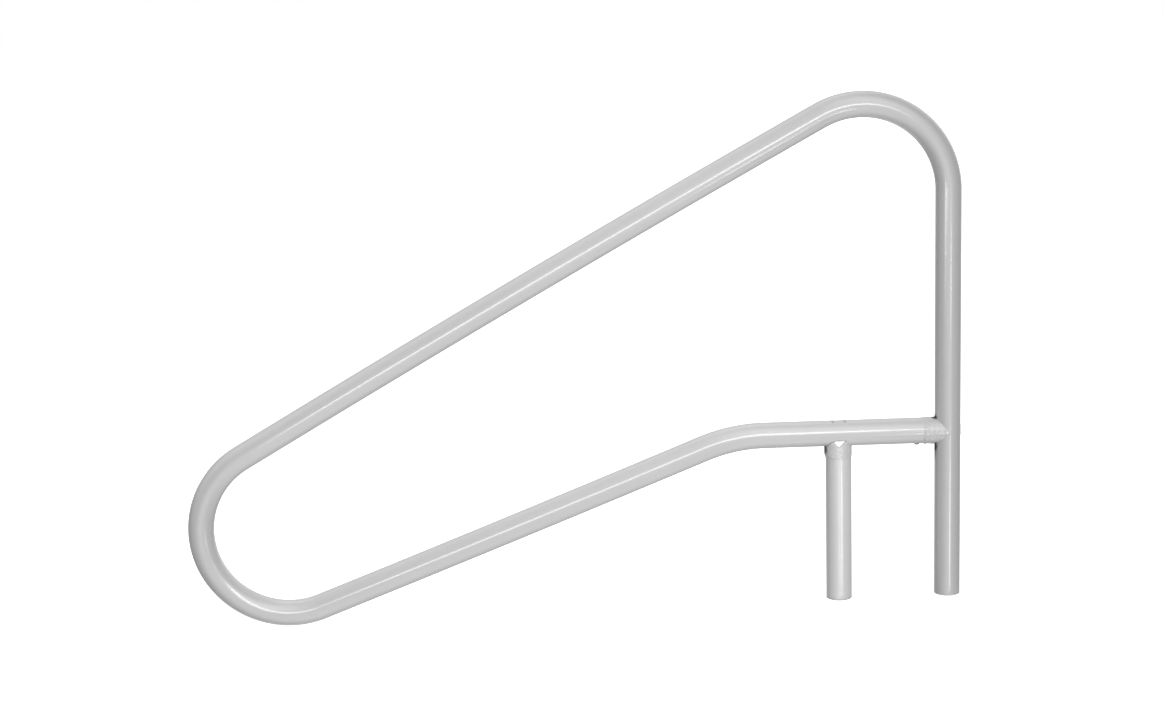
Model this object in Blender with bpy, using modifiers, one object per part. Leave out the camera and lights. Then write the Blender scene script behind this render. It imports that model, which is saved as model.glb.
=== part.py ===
"""Pool handrail: a figure-four rail with a cross brace, for two deck anchors.

One bent tube runs from the post's foot up the post, over the top bend, down the long
grip slope, round the nose, back along the return slope, over the knee and level along
the crossbar, whose fish-mouthed end meets the tube's own post. A short leg drops from
the crossbar to the deck. Both butt joints are pulled up by a bolt that is hidden inside
the tube it starts from, reached through an access hole on that tube's far side.

Metres, +Z up. The rail lies in the XZ plane. The origin is the centre of the post's
foot, and the rail reaches out along -X.
"""

import math
from contextlib import contextmanager

import bmesh
import bpy
import numpy as np
from mathutils import Matrix

MM = 0.001

# ---------------------------------------------------------------- driving dimensions
TUBE_OD = 48.26 * MM          # 1.90 in rail tube
TUBE_WALL = 1.65 * MM         # 0.065 in wall, coat included
TUBE_R = TUBE_OD / 2
BORE_R = TUBE_R - TUBE_WALL

FOOT_SPACING = 203.2 * MM     # 8 in between the two deck anchors
LEG_X = -FOOT_SPACING
CROSSBAR_Z = 314.0 * MM       # crossbar axis above the post's foot
LEG_FOOT_Z = -2.0 * MM        # the leg's foot is this much lower than the post's
BEND_R = 159.5 * MM           # centreline radius of the top bend and of the nose bend
TOP_BEND_Z = 760.0 * MM       # where the post's straight run ends
NOSE_X = -1228.0 * MM         # centre of the nose bend
NOSE_Z = 165.0 * MM
KNEE_X = -341.0 * MM          # where the crossbar's level run ends
KNEE_R = 311.0 * MM           # centreline radius of the knee
GRIP_CROWN_R = 40.0           # the two slopes bow outwards very slightly
RETURN_CROWN_R = 54.0
SPLICE_X = -100 * MM          # where the modelled crossbar end is welded to the rail

COPE_GAP = 0.4 * MM           # fish mouth to the tube it meets
SLIP = 0.3 * MM               # clearance between pieces that touch on the real object

BOLT_R = 4.0 * MM             # M8
ACROSS_FLATS = 13.0 * MM
HEX_R = ACROSS_FLATS / math.sqrt(3)
BOLT_HOLE_R = 4.75 * MM
ACCESS_HOLE_R = 10.5 * MM
SCREW_REACH = 57.2 * MM       # insert screw, from the post's axis
SCREW_R = 2.0 * MM
END_FLANGE = 3.0 * MM         # end plug's flange under the tube's end
FOOT_Z = END_FLANGE + SLIP    # tube's cut end above the underside of its end plug

AROUND = 32                   # facets round a tube
AROUND_BOLT = 24              # facets round bolts, washers and their holes
AROUND_SCREW = 16             # facets round the screw's holes
BEND_STEP = math.radians(7.0)
SMOOTH_ANGLE = math.radians(30.0)

WELD_CAPS = 0.001 * MM        # merge distance on an evaluated mesh
WELD = 0.01 * MM              # merge distance elsewhere
CUT_PAST = 10 * MM            # how far a bore's cutter runs beyond the piece
SKIM = 0.01 * MM              # how far a chamfering cutter stands off a flat face

# ---------------------------------------------------------------- clean scene
for old in list(bpy.data.objects):
    bpy.data.objects.remove(old, do_unlink=True)

rail_parts = bpy.data.collections.new("pool_handrail")
cutters = bpy.data.collections.new("cutters")
bpy.context.scene.collection.children.link(rail_parts)
bpy.context.scene.collection.children.link(cutters)
cutters.hide_render = True


# ---------------------------------------------------------------- materials
def material(name, colour, roughness, metallic=0.0):
    mat = bpy.data.materials.new(name)
    mat.use_nodes = True
    shader = mat.node_tree.nodes["Principled BSDF"]
    shader.inputs["Base Color"].default_value = (*colour, 1.0)
    shader.inputs["Roughness"].default_value = roughness
    shader.inputs["Metallic"].default_value = metallic
    mat.diffuse_color = (*colour, 1.0)
    return mat


COATED = material("coated_tube", colour=(0.56, 0.56, 0.555), roughness=0.25)
COLLAR = material("joint_collar", colour=(0.55, 0.55, 0.545), roughness=0.38)
PLUG = material("grey_plug", colour=(0.50, 0.50, 0.495), roughness=0.45)
NYLON = material("white_nylon", colour=(0.86, 0.86, 0.84), roughness=0.5)
STEEL = material("stainless_fastener", colour=(0.62, 0.61, 0.60), roughness=0.3, metallic=1.0)


# ---------------------------------------------------------------- modelling helpers
def add(name, data, mat=None):
    obj = bpy.data.objects.new(name, data)
    rail_parts.objects.link(obj)
    if mat is not None:
        data.materials.append(mat)
    return obj


def as_cutter(obj):
    obj.hide_render = True
    obj.display_type = "WIRE"
    for home in list(obj.users_collection):
        home.objects.unlink(obj)
    cutters.objects.link(obj)
    return obj


@contextmanager
def editing(mesh):
    """Opens a mesh as a bmesh and writes it back afterwards."""
    shape = bmesh.new()
    shape.from_mesh(mesh)
    yield shape
    shape.to_mesh(mesh)
    shape.free()


def bake(obj, mat=None):
    """Swap an object for a mesh of its evaluated shape, with its loose caps welded."""
    name, home, frame = obj.name, obj.users_collection[0], obj.matrix_world.copy()
    graph = bpy.context.evaluated_depsgraph_get()
    mesh = bpy.data.meshes.new_from_object(obj.evaluated_get(graph))
    mesh.name = name
    with editing(mesh) as shape:
        bmesh.ops.remove_doubles(shape, verts=shape.verts, dist=WELD_CAPS)
    bpy.data.objects.remove(obj, do_unlink=True)
    baked = bpy.data.objects.new(name, mesh)
    home.objects.link(baked)
    baked.matrix_world = frame
    if mat is not None:
        mesh.materials.clear()
        mesh.materials.append(mat)
    return baked


def smooth(obj):
    obj.data.shade_smooth()
    obj.data.set_sharp_from_angle(angle=SMOOTH_ANGLE)
    return obj


def finish(obj, mat):
    return smooth(bake(obj, mat))


def boolean(obj, cutter, operation="DIFFERENCE"):
    cut = obj.modifiers.new(cutter.name, "BOOLEAN")
    cut.operation = operation
    cut.solver = "EXACT"
    cut.object = cutter
    return cut


def poly_spline(curve, knots):
    spline = curve.splines.new("POLY")
    spline.points.add(len(knots) - 1)
    for target, knot in zip(spline.points, knots):
        target.co = (*knot, 1.0)
    return spline


def rod(name, line, radius):
    """A solid round bar along a line of (x, z) points, from a curve with a round bevel."""
    curve = bpy.data.curves.new(name, "CURVE")
    curve.dimensions = "3D"
    curve.twist_mode = "MINIMUM"
    curve.bevel_depth = radius
    curve.bevel_resolution = (AROUND - 4) // 2
    curve.use_fill_caps = True
    poly_spline(curve, [(x, 0.0, z) for x, z in line])
    return bake(add(name, curve))


def turned(name, profile, around=AROUND, mat=None):
    """A profile of (radius, height) points turned about Z.

    The outer side of the profile runs top to bottom. A profile clear of the axis is closed.
    """
    mesh = bpy.data.meshes.new(name)
    with editing(mesh) as shape:
        corners = [shape.verts.new((radius, 0.0, height)) for radius, height in profile]
        for start, end in zip(corners, corners[1:]):
            shape.edges.new((start, end))
        if min(radius for radius, height in profile) > 1e-6:
            shape.edges.new((corners[-1], corners[0]))
    obj = add(name, mesh, mat)
    screw = obj.modifiers.new("turn", "SCREW")
    screw.axis = "Z"
    screw.steps = screw.render_steps = around
    screw.use_merge_vertices = True
    screw.merge_threshold = WELD
    screw.use_smooth_shade = False
    return obj


def prism(name, radius, low, high, sides):
    """A cylinder or a hexagonal bar along Z, from low to high."""
    mesh = bpy.data.meshes.new(name)
    with editing(mesh) as shape:
        bmesh.ops.create_cone(
            shape, cap_ends=True, segments=sides, radius1=radius, radius2=radius,
            depth=high - low, matrix=Matrix.Translation((0, 0, (low + high) / 2)),
        )
    return add(name, mesh)


def prism_cutter(name, radius, low, high, sides, frame=None):
    cutter = as_cutter(prism(name, radius, low, high, sides))
    if frame is not None:
        cutter.matrix_world = frame
    return cutter


def box_cutter(name, *frames):
    """One box per frame, each a unit cube scaled and placed by its matrix."""
    mesh = bpy.data.meshes.new(name)
    with editing(mesh) as shape:
        for frame in frames:
            bmesh.ops.create_cube(shape, size=1.0, matrix=frame)
    return as_cutter(add(name, mesh))


# ---------------------------------------------------------------- the rail's centreline
def point(x, z):
    return np.array((x, z), dtype=float)


def unit(vector):
    return vector / np.hypot(*vector)


def cross_point(centre_a, reach_a, centre_b, reach_b, pick):
    """The point at two given distances from two centres: pick takes the lower or higher one."""
    span = np.hypot(*(centre_b - centre_a))
    along = (reach_a ** 2 - reach_b ** 2 + span ** 2) / (2 * span)
    aside = math.sqrt(reach_a ** 2 - along ** 2)
    ahead = unit(centre_b - centre_a)
    normal = point(-ahead[1], ahead[0])
    middle = centre_a + ahead * along
    return pick((middle + normal * aside, middle - normal * aside), key=lambda place: place[1])


def arc(centre, radius, start, end, steps):
    """Points from the angle start to the angle end, both included."""
    angles = (start + (end - start) * i / steps for i in range(steps + 1))
    return [centre + radius * point(math.cos(angle), math.sin(angle)) for angle in angles]


def bend(centre, radius, start, end):
    steps = max(2, math.ceil(abs(end - start) / BEND_STEP))
    return arc(centre, radius, start, end, steps)


def angle_of(centre, place):
    return math.atan2(place[1] - centre[1], place[0] - centre[0])


def join(*runs):
    """Chains runs of points, leaving out a point that repeats the one before it."""
    line = []
    for run in runs:
        for place in run:
            if not line or np.hypot(*(place - line[-1])) > WELD:
                line.append(place)
    return line


def rail_line(start_z, end_x):
    """The whole centreline: tangent arcs, and the two slopes with their slight crown."""
    top = point(-BEND_R, TOP_BEND_Z)
    nose = point(NOSE_X, NOSE_Z)
    knee = point(KNEE_X, CROSSBAR_Z - KNEE_R)
    # each slope is a very flat arc that touches the bends at its two ends
    grip = cross_point(top, GRIP_CROWN_R - BEND_R, nose, GRIP_CROWN_R - BEND_R, min)
    back = cross_point(nose, RETURN_CROWN_R - BEND_R, knee, RETURN_CROWN_R + KNEE_R, max)
    top_end = top + unit(top - grip) * BEND_R
    nose_start = nose + unit(nose - grip) * BEND_R
    nose_end = nose + unit(nose - back) * BEND_R
    knee_start = knee + unit(back - knee) * KNEE_R
    full = 2 * math.pi
    return join(
        [point(0.0, start_z), point(0.0, TOP_BEND_Z)],
        bend(top, BEND_R, 0.0, angle_of(top, top_end)),
        arc(grip, GRIP_CROWN_R, angle_of(grip, top_end), angle_of(grip, nose_start), steps=6),
        bend(nose, BEND_R, angle_of(nose, nose_start) % full, angle_of(nose, nose_end) % full),
        arc(back, RETURN_CROWN_R, angle_of(back, nose_end), angle_of(back, knee_start), steps=4),
        bend(knee, KNEE_R, angle_of(knee, knee_start), math.pi / 2),
        [point(KNEE_X, CROSSBAR_Z), point(end_x, CROSSBAR_Z)],
    )


# ---------------------------------------------------------------- joint frames
# Each frame's origin is on the crossing tube's axis. Its local -Z runs down the butting
# tube and its local X along the crossing tube.
ALONG_X = Matrix.Rotation(math.pi / 2, 4, "Y")      # local +Z to world +X
CROSSBAR_FRAME = Matrix.Translation((0, 0, CROSSBAR_Z)) @ ALONG_X
LEG_FRAME = Matrix.Translation((LEG_X, 0, CROSSBAR_Z))

# the crossing tubes with their cope gap, cut out of whatever butts on them
post_space = prism_cutter("post_space", TUBE_R + COPE_GAP, 200 * MM, 430 * MM, AROUND)
crossbar_space = prism_cutter(
    "crossbar_space", TUBE_R + COPE_GAP, -120 * MM, 120 * MM, AROUND, LEG_FRAME @ ALONG_X
)

# ---------------------------------------------------------------- rail tube
# from the post's foot to the splice
rail = rod("rail_tube", rail_line(FOOT_Z, SPLICE_X), TUBE_R)
bore_line = rail_line(FOOT_Z - CUT_PAST, SPLICE_X + CUT_PAST)
boolean(rail, as_cutter(rod("rail_bore", bore_line, BORE_R)))
rail = bake(rail, COATED)

# the crossbar's last stretch, fish-mouthed round the post
stub = rod("crossbar_end", [(SPLICE_X, CROSSBAR_Z), (0, CROSSBAR_Z)], TUBE_R)
bore_line = [(SPLICE_X - CUT_PAST, CROSSBAR_Z), (CUT_PAST, CROSSBAR_Z)]
boolean(stub, as_cutter(rod("crossbar_end_bore", bore_line, BORE_R)))
boolean(stub, post_space)
stub = bake(stub)


def at_splice(vert):
    return abs(vert.co.x - SPLICE_X) < WELD


# one tube again: with their end faces off, both rings at the splice are the same points
for piece in (rail, stub):
    with editing(piece.data) as shape:
        ends = [face for face in shape.faces if all(at_splice(vert) for vert in face.verts)]
        bmesh.ops.delete(shape, geom=ends, context="FACES")
        spare = [vert for vert in shape.verts if at_splice(vert) and len(vert.link_edges) == 2]
        bmesh.ops.dissolve_verts(shape, verts=spare)
with editing(rail.data) as shape:
    shape.from_mesh(stub.data)
    seam = [vert for vert in shape.verts if at_splice(vert)]
    bmesh.ops.remove_doubles(shape, verts=seam, dist=WELD)
    bmesh.ops.recalc_face_normals(shape, faces=shape.faces)
bpy.data.objects.remove(stub, do_unlink=True)

# holes through one wall of the tube, along their frame's Z
NEAR_WALL = (-35 * MM, -10 * MM)    # on the butting tube's side
FAR_WALL = (10 * MM, 35 * MM)
SCREW_WALL = (-35 * MM, -15 * MM)   # underside of the crossbar
SCREW_FRAME = Matrix.Translation((-SCREW_REACH, 0, CROSSBAR_Z))
for name, radius, wall, sides, frame in (
    ("post_bolt_hole", BOLT_HOLE_R, NEAR_WALL, AROUND_BOLT, CROSSBAR_FRAME),
    ("post_access_hole", ACCESS_HOLE_R, FAR_WALL, AROUND, CROSSBAR_FRAME),
    ("crossbar_bolt_hole", BOLT_HOLE_R, NEAR_WALL, AROUND_BOLT, LEG_FRAME),
    ("crossbar_access_hole", ACCESS_HOLE_R, FAR_WALL, AROUND, LEG_FRAME),
    ("insert_screw_hole", SCREW_R + SLIP, SCREW_WALL, AROUND_SCREW, SCREW_FRAME),
):
    boolean(rail, prism_cutter(name, radius, *wall, sides, frame))
smooth(rail)

# ---------------------------------------------------------------- V notch
NOTCH_X = -205.7 * MM         # in the tongue on the leg's -Y side
NOTCH_Y = -24 * MM            # middle of the wedge's depth
NOTCH_APEX_Z = 290.3 * MM
NOTCH_FLANK = 0.76            # half width gained per unit of height
NOTCH_HEIGHT = 40 * MM
NOTCH_HALF_DEPTH = 12 * MM


def notch_cutter():
    """A triangular wedge, apex down, through the leg's -Y wall."""
    outline = bpy.data.curves.new("leg_notch", "CURVE")
    outline.dimensions = "2D"
    outline.fill_mode = "BOTH"
    outline.extrude = NOTCH_HALF_DEPTH
    half_width = NOTCH_FLANK * NOTCH_HEIGHT
    corners = [(0, 0, 0), (half_width, NOTCH_HEIGHT, 0), (-half_width, NOTCH_HEIGHT, 0)]
    poly_spline(outline, corners).use_cyclic_u = True
    wedge = add("leg_notch", outline)
    wedge.matrix_world = (
        Matrix.Translation((NOTCH_X, NOTCH_Y, NOTCH_APEX_Z)) @ Matrix.Rotation(math.pi / 2, 4, "X")
    )
    bpy.context.view_layer.update()
    wedge = as_cutter(bake(wedge))
    with editing(wedge.data) as shape:
        bmesh.ops.recalc_face_normals(shape, faces=shape.faces)
    return wedge


notch = notch_cutter()

# ---------------------------------------------------------------- support leg
leg_low = LEG_FOOT_Z + FOOT_Z
leg = turned(
    "support_leg",
    [(BORE_R, CROSSBAR_Z), (TUBE_R, CROSSBAR_Z), (TUBE_R, leg_low), (BORE_R, leg_low)],
    mat=COATED,
)
leg.location = (LEG_X, 0, 0)
boolean(leg, crossbar_space)
boolean(leg, notch)
smooth(leg)

# ---------------------------------------------------------------- joints
# From here to the insert screw, heights are in the joint frame.
crossbar_joint = add("crossbar_joint", None)
crossbar_joint.matrix_world = CROSSBAR_FRAME
leg_joint = add("leg_joint", None)
leg_joint.matrix_world = LEG_FRAME
for empty in (crossbar_joint, leg_joint):
    empty.empty_display_size = 0.03


def place(obj, joint, lift=0.0):
    obj.parent = joint
    obj.location = (0, 0, lift)


def fit_both(piece, leg_name, lift=0.0, leg_lift=0.0):
    """Puts a piece in the crossbar's joint and its twin, on the same mesh, in the leg's."""
    place(piece, crossbar_joint, lift)
    place(add(leg_name, piece.data), leg_joint, leg_lift)


def crossing(name, radius):
    """A cutter as wide as the crossing tube, along the joint's local X."""
    cutter = prism_cutter(name, radius, -80 * MM, 80 * MM, AROUND)
    cutter.data.transform(ALONG_X)
    return cutter


# ---------------------------------------------------------------- collars
COLLAR_BORE_GAP = 0.25 * MM
COLLAR_TIP = 5.0 * MM         # the tongues are trimmed this far short of the crossing axis
COLLAR_EDGE = 0.2 * MM        # thickness left at the feathered edge
COLLAR_FEATHER_RISE = 0.15 * MM     # feather's middle ring above half the collar's proudness


def collar(name, joint, spaces, reach, proud, feather):
    """A thin sleeve over a coped end, proud of the tube and feathered at its far edge.

    Reach is from the crossing axis to the far edge.
    """
    inner = TUBE_R + COLLAR_BORE_GAP
    sleeve = turned(
        name,
        [
            (inner, -COLLAR_TIP),
            (TUBE_R + proud, -COLLAR_TIP),
            (TUBE_R + proud, -reach + feather),
            (TUBE_R + 0.5 * proud + COLLAR_FEATHER_RISE, -reach + 0.3 * feather),
            (inner + COLLAR_EDGE, -reach),
            (inner, -reach),
        ],
        mat=COLLAR,
    )
    place(sleeve, joint)
    for space in spaces:
        boolean(sleeve, space)
    smooth(sleeve)


collar(
    "crossbar_collar", crossbar_joint, [post_space],
    reach=48.2 * MM, proud=0.9 * MM, feather=3 * MM,
)
collar(
    "leg_collar", leg_joint, [crossbar_space, notch],
    reach=47.7 * MM, proud=1.3 * MM, feather=7 * MM,
)

# ---------------------------------------------------------------- nylon inserts
# a plug in the butting tube: bolt bore, nut pocket at its inner end, pilot hole for the screw
INSERT_R = 22.1 * MM
INSERT_REACH = 84.5 * MM
INSERT_BORE_R = 4.5 * MM
INSERT_CHAMFER = 1.5 * MM
INSERT_COPE_GAP = 0.7 * MM
POCKET_REACH = 76.0 * MM      # where the nut's pocket starts
POCKET_R = (ACROSS_FLATS + 2 * SLIP) / math.sqrt(3)
POCKET_CUT_PAST = 5 * MM
PILOT_SPAN = (8 * MM, 30 * MM)      # out from the insert's axis, along local X

insert = turned(
    "crossbar_insert",
    [
        (INSERT_BORE_R, 0.0),
        (INSERT_R, 0.0),
        (INSERT_R, -INSERT_REACH + INSERT_CHAMFER),
        (INSERT_R - INSERT_CHAMFER, -INSERT_REACH),
        (INSERT_BORE_R, -INSERT_REACH),
    ],
)
pocket = prism_cutter("nut_pocket", POCKET_R, -INSERT_REACH - POCKET_CUT_PAST, -POCKET_REACH, 6)
pilot = prism_cutter("screw_pilot", SCREW_R + SLIP, *PILOT_SPAN, AROUND_SCREW)
pilot.data.transform(Matrix.Translation((0, 0, -SCREW_REACH)) @ ALONG_X)
for cutter in (crossing("insert_cope", TUBE_R + INSERT_COPE_GAP), pocket, pilot):
    boolean(insert, cutter)
fit_both(finish(insert, NYLON), "leg_insert")

# ---------------------------------------------------------------- bolts
# hex head with a chamfered crown, plain shank
BOLT_LENGTH = 70.0 * MM
BOLT_TIP_CHAMFER = 1 * MM
HEAD_HEIGHT = 5.3 * MM
HEAD_SEAT = -16.0 * MM        # underside of the head
HEAD_CHAMFER_DROP = 1.0 * MM
HEAD_CHAMFER_OUT = 0.6 * MM   # beyond the hexagon's corners
HEAD_OVERLAP = 1 * MM         # shank into the head, and the crown cutter below the seat
CROWN_R = ACROSS_FLATS / 2 - 0.2 * MM     # flat left inside a hexagon's chamfer

head_top = HEAD_SEAT + HEAD_HEIGHT
bolt_tip = HEAD_SEAT - BOLT_LENGTH
bolt = prism("crossbar_bolt", HEX_R, HEAD_SEAT, head_top, 6)
crown = turned(
    "head_crown",
    [
        (0.0, head_top + SKIM),
        (CROWN_R, head_top + SKIM),
        (HEX_R + HEAD_CHAMFER_OUT, head_top - HEAD_CHAMFER_DROP),
        (HEX_R + HEAD_CHAMFER_OUT, HEAD_SEAT - HEAD_OVERLAP),
        (0.0, HEAD_SEAT - HEAD_OVERLAP),
    ],
    AROUND_BOLT,
)
shank = turned(
    "bolt_shank",
    [
        (0.0, HEAD_SEAT + HEAD_OVERLAP),
        (BOLT_R, HEAD_SEAT + HEAD_OVERLAP),
        (BOLT_R, bolt_tip + BOLT_TIP_CHAMFER),
        (BOLT_R - BOLT_TIP_CHAMFER, bolt_tip),
        (0.0, bolt_tip),
    ],
    AROUND_BOLT,
)
boolean(bolt, as_cutter(crown), "INTERSECT")
boolean(bolt, as_cutter(shank), "UNION")
fit_both(finish(bolt, STEEL), "leg_bolt")

# ---------------------------------------------------------------- washers
SPRING_R = 7.4 * MM
SPRING_THICKNESS = 2.0 * MM
SLIT_SIZE = (1.4 * MM, 8 * MM, 6 * MM)
SLIT_Y = 6 * MM
SLIT_LEAN = math.radians(20)
SADDLE_R = 8.5 * MM
SADDLE_BORE_GAP = 0.4 * MM
SADDLE_BOTTOM = -23 * MM      # before it is curved

spring_top = HEAD_SEAT - SLIP
spring_bottom = spring_top - SPRING_THICKNESS
saddle_top = spring_bottom - SLIP


def washer(name, bore, radius, top, bottom):
    profile = [(bore, top), (radius, top), (radius, bottom), (bore, bottom)]
    return turned(name, profile, AROUND_BOLT)


# saddle washer: flat under the lock washer, curved where it bears on the tube's bore
saddle = washer(
    "crossbar_saddle_washer", BOLT_R + SADDLE_BORE_GAP, SADDLE_R, saddle_top, SADDLE_BOTTOM
)
boolean(saddle, crossing("saddle_form", BORE_R - SLIP), "INTERSECT")
fit_both(finish(saddle, STEEL), "leg_saddle_washer")

# split lock washer
spring = washer("crossbar_lock_washer", BOLT_R + SLIP, SPRING_R, spring_top, spring_bottom)
slit_frame = (
    Matrix.Translation((0, SLIT_Y, (spring_top + spring_bottom) / 2))
    @ Matrix.Rotation(SLIT_LEAN, 4, "Y")
    @ Matrix.Diagonal((*SLIT_SIZE, 1.0))
)
boolean(spring, box_cutter("lock_washer_slit", slit_frame))
fit_both(finish(spring, STEEL), "leg_lock_washer")

# ---------------------------------------------------------------- nuts
# hexagon chamfered at both ends
NUT_HEIGHT = 6.5 * MM
NUT_CHAMFER_DROP = 0.9 * MM
NUT_CHAMFER_OUT = 0.4 * MM    # beyond the hexagon's corners

nut_top = -POCKET_REACH - SLIP
nut_low = nut_top - NUT_HEIGHT
nut_mid = nut_top - NUT_HEIGHT / 2
nut = prism("crossbar_nut", HEX_R, nut_low, nut_top, 6)
crowns = turned(
    "nut_crowns",
    [
        (0.0, nut_top + SKIM),
        (CROWN_R, nut_top + SKIM),
        (HEX_R + NUT_CHAMFER_OUT, nut_top - NUT_CHAMFER_DROP),
        (HEX_R + NUT_CHAMFER_OUT, nut_low + NUT_CHAMFER_DROP),
        (CROWN_R, nut_low - SKIM),
        (0.0, nut_low - SKIM),
    ],
    AROUND_BOLT,
)
nut_bore = prism_cutter(
    "nut_bore", BOLT_R + SLIP, nut_mid - CUT_PAST, nut_mid + CUT_PAST, AROUND_BOLT
)
boolean(nut, as_cutter(crowns), "INTERSECT")
boolean(nut, nut_bore)
fit_both(finish(nut, STEEL), "leg_nut")

# ---------------------------------------------------------------- access plugs
# push-in cap with a snap lip, its face curved like the tube it closes
PLUG_R = 10.2 * MM
PLUG_LIP = 0.7 * MM           # snap lip beyond the plug's side
PLUG_TAPER = 0.4 * MM         # rim inside the plug's side
PLUG_WALL = 1.9 * MM
PLUG_TOP = 26.5 * MM          # before the face is curved
PLUG_CEILING = 21.2 * MM      # top of the hollow
PLUG_RIM = 16.0 * MM
POST_PLUG_PROUD = 0.4 * MM
CROSSBAR_PLUG_PROUD = -0.3 * MM

plug = turned(
    "post_access_plug",
    [
        (0.0, PLUG_TOP),
        (PLUG_R, PLUG_TOP),
        (PLUG_R, 18.9 * MM),
        (PLUG_R + PLUG_LIP, 18.3 * MM),
        (PLUG_R + PLUG_LIP, 17.7 * MM),
        (PLUG_R - PLUG_TAPER, PLUG_RIM),
        (PLUG_R - PLUG_WALL, PLUG_RIM),
        (PLUG_R - PLUG_WALL, PLUG_CEILING),
        (0.0, PLUG_CEILING),
    ],
)
boolean(plug, crossing("plug_face", TUBE_R), "INTERSECT")
fit_both(finish(plug, PLUG), "crossbar_access_plug", POST_PLUG_PROUD, CROSSBAR_PLUG_PROUD)

# ---------------------------------------------------------------- insert screw
# driven up into the crossbar, its origin under the head
SCREW_LENGTH = 14.0 * MM
SCREW_POINT_LENGTH = 3 * MM
SCREW_POINT_R = 0.3 * MM
SCREW_HEAD_R = 4.6 * MM
SCREW_HEAD_HEIGHT = 3.0 * MM
RECESS_SIZE = (4.4 * MM, 1.0 * MM, 3.2 * MM)    # each arm of the cross recess

screw = turned(
    "insert_screw",
    [
        (0.0, SCREW_LENGTH),
        (SCREW_POINT_R, SCREW_LENGTH),
        (SCREW_R, SCREW_LENGTH - SCREW_POINT_LENGTH),
        (SCREW_R, 0.0),
        (SCREW_HEAD_R, 0.0),
        # domed head
        (SCREW_HEAD_R, -0.9 * MM),
        (SCREW_HEAD_R - 0.7 * MM, -2.1 * MM),
        (SCREW_HEAD_R - 2.0 * MM, -2.8 * MM),
        (0.0, -SCREW_HEAD_HEIGHT),
    ],
    AROUND_BOLT,
)
recess_frames = [
    Matrix.Translation((0, 0, -SCREW_HEAD_HEIGHT))
    @ Matrix.Rotation(turn, 4, "Z")
    @ Matrix.Diagonal((*RECESS_SIZE, 1.0))
    for turn in (0.0, math.pi / 2)
]
recess = boolean(screw, box_cutter("screw_recess", *recess_frames))
recess.use_self = True        # the two arms overlap
screw = finish(screw, STEEL)
screw.location = (-SCREW_REACH, 0, CROSSBAR_Z - TUBE_R - SLIP)

# ---------------------------------------------------------------- end plugs
# flange under the tube's end, and a hollow spigot with a groove round it
SPIGOT_R = 22.1 * MM
SPIGOT_BORE_R = SPIGOT_R - 2.5 * MM
SPIGOT_TIP_R = SPIGOT_R - 1.2 * MM
GROOVE_R = SPIGOT_R - 0.7 * MM
END_DEPTH = 28.0 * MM         # spigot's top above the plug's underside
END_EDGE_R = 2.0 * MM

rounded_edge = [
    (TUBE_R - END_EDGE_R * (1 - math.cos(angle)), END_EDGE_R * (1 - math.sin(angle)))
    for angle in map(math.radians, (0, 30, 60, 90))
]
end_plug = turned(
    "post_end_plug",
    [
        (0.0, END_FLANGE),
        (SPIGOT_BORE_R, END_FLANGE),
        (SPIGOT_BORE_R, END_DEPTH),
        (SPIGOT_TIP_R, END_DEPTH),
        (SPIGOT_R, END_DEPTH - 3 * MM),
        (SPIGOT_R, END_DEPTH - 7 * MM),
        (GROOVE_R, END_DEPTH - 7.6 * MM),
        (GROOVE_R, END_DEPTH - 13 * MM),
        (SPIGOT_R, END_DEPTH - 13.6 * MM),
        (SPIGOT_R, END_FLANGE),
        (TUBE_R, END_FLANGE),
        *rounded_edge,
        (0.0, 0.0),
    ],
)
end_plug = finish(end_plug, PLUG)
leg_plug = add("leg_end_plug", end_plug.data)
leg_plug.location = (LEG_X, 0, LEG_FOOT_Z)
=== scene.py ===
"""The looks of the pool handrail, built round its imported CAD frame.

Every visible piece is rebuilt here as a fine surface: tubes with true fish mouths, drilled
holes and rounded rims, hand-dressed joint collars, moulded plugs and turned fasteners with
real threads. Metres, +Z up; the rail lies in the XZ plane, its post's foot is the origin, the
crossbar and leg are on the -X side of the post, and the camera looks from the front, -Y.
"""

import math
from collections import namedtuple

import bmesh
import bpy
import numpy as np
from mathutils import Matrix, Vector, noise


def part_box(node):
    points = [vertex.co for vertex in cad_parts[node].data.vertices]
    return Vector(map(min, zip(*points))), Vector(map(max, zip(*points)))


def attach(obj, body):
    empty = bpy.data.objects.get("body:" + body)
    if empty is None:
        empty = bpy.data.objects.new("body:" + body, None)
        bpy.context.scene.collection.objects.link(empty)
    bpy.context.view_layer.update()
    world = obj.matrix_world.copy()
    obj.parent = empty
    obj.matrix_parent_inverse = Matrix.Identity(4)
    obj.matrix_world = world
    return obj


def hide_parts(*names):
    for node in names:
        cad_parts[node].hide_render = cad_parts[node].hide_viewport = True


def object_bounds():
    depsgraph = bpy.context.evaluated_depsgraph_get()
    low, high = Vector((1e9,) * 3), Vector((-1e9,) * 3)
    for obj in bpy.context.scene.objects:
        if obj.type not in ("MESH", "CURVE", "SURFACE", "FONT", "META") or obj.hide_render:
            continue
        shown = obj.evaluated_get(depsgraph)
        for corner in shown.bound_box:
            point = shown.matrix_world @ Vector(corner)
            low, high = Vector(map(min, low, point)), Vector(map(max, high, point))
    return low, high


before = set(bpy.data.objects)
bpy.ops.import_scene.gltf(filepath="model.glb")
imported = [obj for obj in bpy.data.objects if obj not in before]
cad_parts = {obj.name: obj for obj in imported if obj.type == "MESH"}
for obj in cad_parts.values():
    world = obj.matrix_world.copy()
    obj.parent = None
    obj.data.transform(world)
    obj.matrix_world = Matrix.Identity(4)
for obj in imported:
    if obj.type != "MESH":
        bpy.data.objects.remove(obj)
CAD_LOW, CAD_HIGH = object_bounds()

MM = 0.001
TAU = 2 * math.pi
scene = bpy.context.scene


def middle(node, axis):
    low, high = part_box(node)
    return (low[axis] + high[axis]) / 2


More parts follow.
